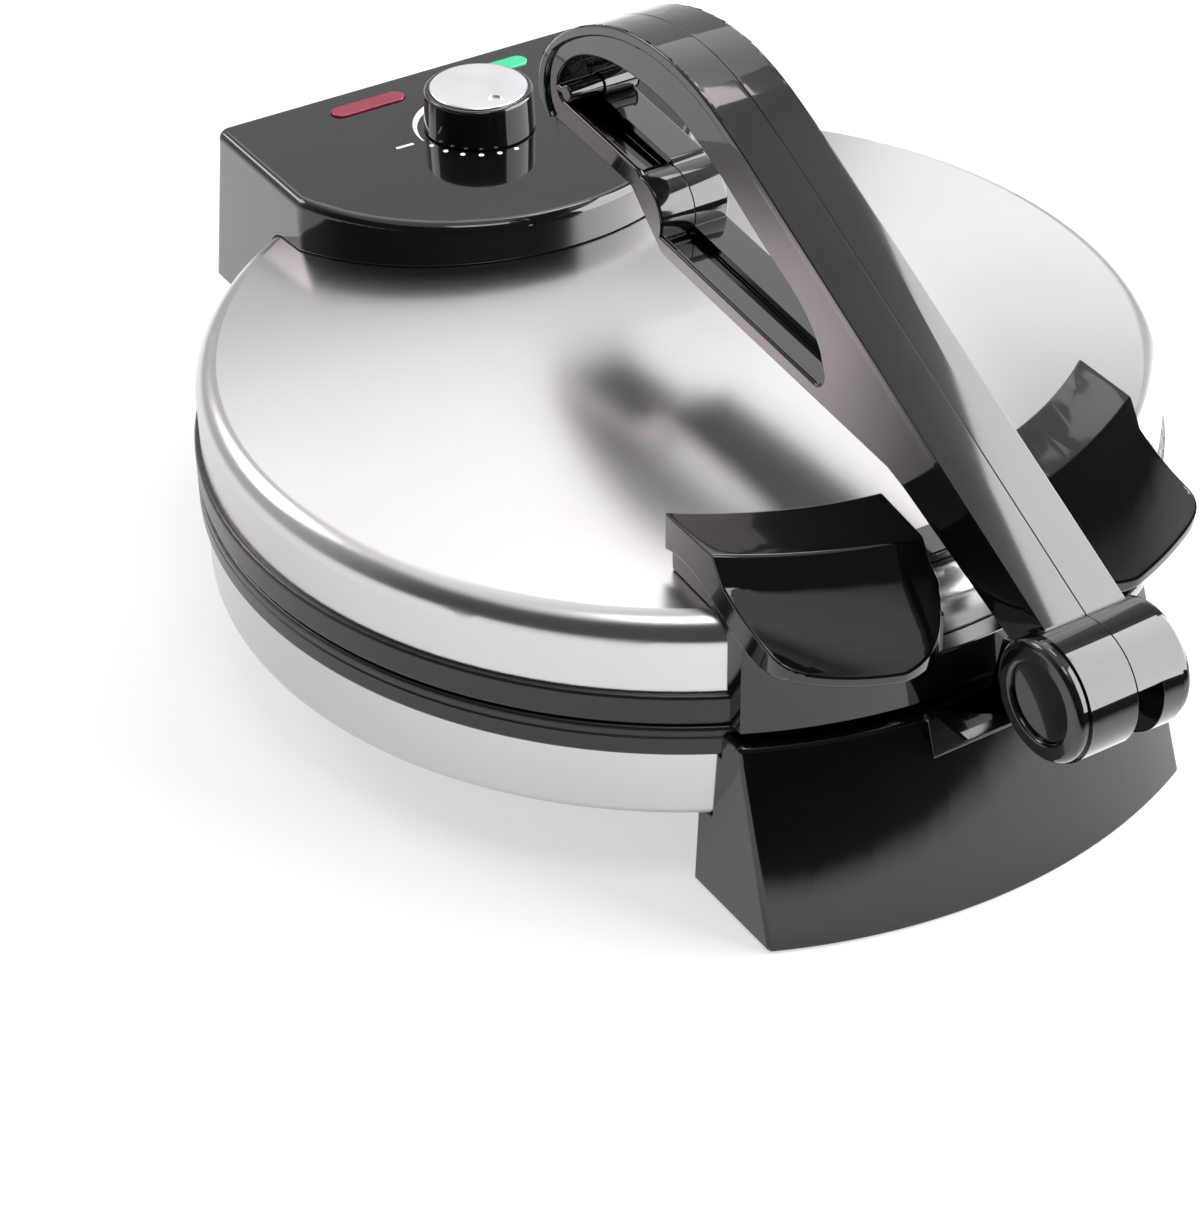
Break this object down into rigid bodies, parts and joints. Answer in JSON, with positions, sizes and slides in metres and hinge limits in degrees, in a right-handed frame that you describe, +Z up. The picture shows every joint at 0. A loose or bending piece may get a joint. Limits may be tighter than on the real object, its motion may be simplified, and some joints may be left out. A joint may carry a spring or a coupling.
{
  "type": "flatbread and pancake press",
  "caption": "Round countertop press cooker with domed steel lid on a rear hinge, heat dial, winged lid handle and a long folding press lever pivoting on a flared front foot.",
  "frame": {"origin": "point on the worktop under the common axis of the two round hot plates", "axes": "+Z up; -Y to the front, where the press lever pivots; +Y to the rear, where the lid is hinged; +X to the right seen from the front"},
  "size_m": [0.336, 0.4429, 0.2228],
  "materials": {
    "brushed_shell": "circular brushed stainless steel",
    "satin_black": "satin heat-resistant plastic",
    "plate_coating": "cast aluminium with dark release coating",
    "element_sheath": "oxidised steel sheath",
    "reflector_steel": "plain pressed sheet",
    "gloss_black": "high-gloss moulded plastic",
    "moulded_black": "fine-textured moulded plastic",
    "foot_rubber": "moulded rubber",
    "plated_steel": "bright zinc plate",
    "terminal_ceramic": "pale moulded block",
    "thermostat_body": "pressed steel body",
    "dial_metal": "fine spun aluminium",
    "red_lens": "moulded clear red lens",
    "green_lens": "moulded clear green lens",
    "lamp_glass": "small glass lamp"
  },
  "bodies": {
    "base": {"base_shell": "brushed_shell", "bottom_cover": "moulded_black", "lower_bezel": "satin_black", "lower_hot_plate": "plate_coating", "lower_element": "element_sheath", "lower_reflector": "reflector_steel", "front_foot": "gloss_black", "rear_stand": "moulded_black", "rubber_feet": "foot_rubber", "base_screws": "plated_steel", "lever_pin": "plated_steel", "hinge_pins": "plated_steel", "cord_bush": "moulded_black", "terminal_block": "terminal_ceramic"},
    "lid": {"lid_shell": "brushed_shell", "upper_bezel": "satin_black", "upper_hot_plate": "plate_coating", "upper_element": "element_sheath", "upper_reflector": "reflector_steel", "control_housing": "gloss_black", "housing_floor": "moulded_black", "housing_screws": "plated_steel", "hinge_bracket": "moulded_black", "thermostat": "thermostat_body", "red_lens": "red_lens", "green_lens": "green_lens", "indicator_lamps": "lamp_glass", "handle_upper": "gloss_black", "handle_lower": "gloss_black"},
    "dial": {"thermostat_spindle": "plated_steel", "knob": "gloss_black", "knob_cap": "dial_metal"},
    "lever": {"lever_left": "gloss_black", "lever_right": "gloss_black", "lever_screws": "plated_steel", "barrel_caps": "gloss_black"}
  },
  "joints": [
    {"name": "lid_hinge", "type": "hinge", "parent": "base", "child": "lid", "pos_m": [0, 0.186, 0.05], "axis": [-1, 0, 0], "range_deg": [0, 70]},
    {"name": "lever_pivot", "type": "hinge", "parent": "base", "child": "lever", "pos_m": [0, -0.224, 0.103], "axis": [1, 0, 0], "range_deg": [0, 165]},
    {"name": "dial_turn", "type": "hinge", "parent": "lid", "child": "dial", "pos_m": [0, 0.1333, 0.129], "axis": [0, 0, -1], "range_deg": [0, 270]}
  ],
  "couplings": [
    {"joint": "lever_pivot", "follows": "lid_hinge", "ratio": 2.35}
  ]
}
